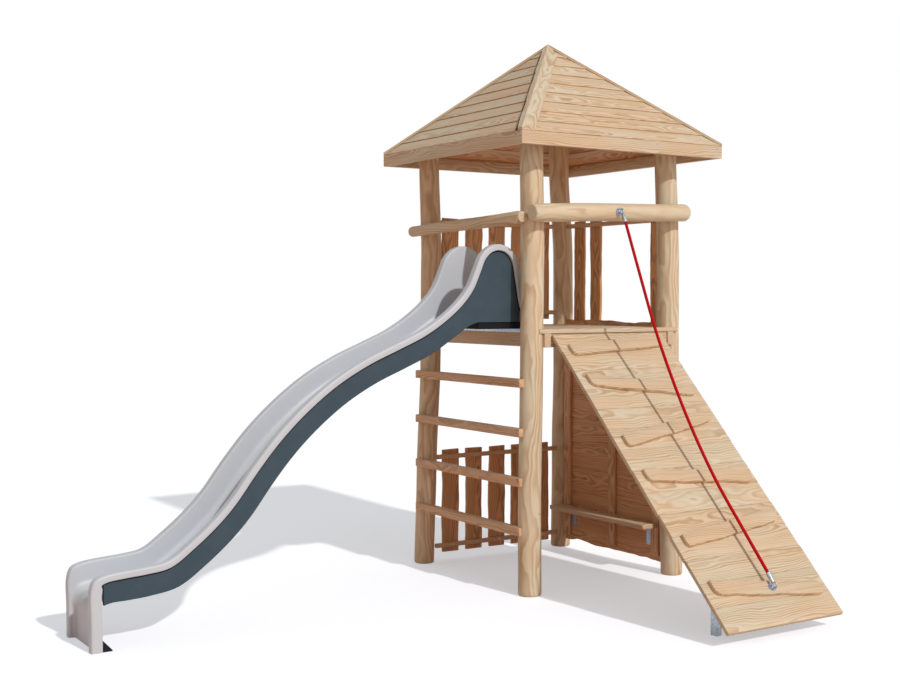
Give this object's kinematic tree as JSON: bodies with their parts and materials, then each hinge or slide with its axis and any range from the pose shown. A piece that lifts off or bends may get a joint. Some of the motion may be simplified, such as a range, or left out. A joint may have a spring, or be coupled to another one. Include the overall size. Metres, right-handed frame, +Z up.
{
  "type": "play tower with slide",
  "caption": "Wooden play tower on log posts with a pyramid roof, a plastic slide, a climbing ramp with a rope, picket fences and a bench.",
  "frame": {"origin": "on the ground, under the middle of the whole footprint with slide and ramp", "axes": "+Z up; the slide leaves the tower toward -X, the ramp toward -Y"},
  "size_m": [3.693, 2.7296, 3.1912],
  "materials": {
    "log_wood": "debarked round log, planed smooth, oiled",
    "board_wood": "sawn natural-edge board",
    "roof_wood": "sawn lapped board",
    "zinc_steel": "zinc plated",
    "chute_plastic": "moulded, light grey",
    "side_panel_plastic": "sheet, dark blue grey",
    "seat_base_plastic": "black",
    "red_rope": "laid rope, red"
  },
  "bodies": {
    "root": {"back_beam": "board_wood", "back_hip_board": "roof_wood", "back_post": "log_wood", "bench_board": "board_wood", "bench_bracket_back_end": "zinc_steel", "bench_bracket_ramp_end": "zinc_steel", "board_wall": "board_wood", "climbing_rope": "red_rope", "deck": "board_wood", "deck_edge_plate": "zinc_steel", "fence_side_fascia": "board_wood", "fence_side_roof_panel": "roof_wood", "front_beam": "board_wood", "front_hip_board": "roof_wood", "front_post": "log_wood", "left_hip_board": "roof_wood", "left_post": "log_wood", "lower_fence": "board_wood", "ramp_boards": "board_wood", "ramp_cleat_1": "board_wood", "ramp_cleat_2": "board_wood", "ramp_cleat_3": "board_wood", "ramp_cleat_4": "board_wood", "ramp_cleat_5": "board_wood", "ramp_cleat_6": "board_wood", "ramp_foot_left": "zinc_steel", "ramp_foot_right": "zinc_steel", "ramp_rail": "log_wood", "ramp_side_fascia": "board_wood", "ramp_side_roof_panel": "roof_wood", "ramp_stringer_left": "board_wood", "ramp_stringer_right": "board_wood", "right_hip_board": "roof_wood", "right_post": "log_wood", "rope_bottom_fitting": "zinc_steel", "rope_top_fitting": "zinc_steel", "rung_1": "board_wood", "rung_2": "board_wood", "rung_3": "board_wood", "rung_4": "board_wood", "slide_chute": "chute_plastic", "slide_gusset_far": "seat_base_plastic", "slide_gusset_near": "seat_base_plastic", "slide_rail": "log_wood", "slide_seat_base": "seat_base_plastic", "slide_side_fascia": "board_wood", "slide_side_joist": "board_wood", "slide_side_panel_far": "side_panel_plastic", "slide_side_panel_near": "side_panel_plastic", "slide_side_roof_panel": "roof_wood", "upper_fence": "board_wood", "wall_side_fascia": "board_wood", "wall_side_fence": "board_wood", "wall_side_joist": "board_wood", "wall_side_roof_panel": "roof_wood"}
  },
  "joints": []
}
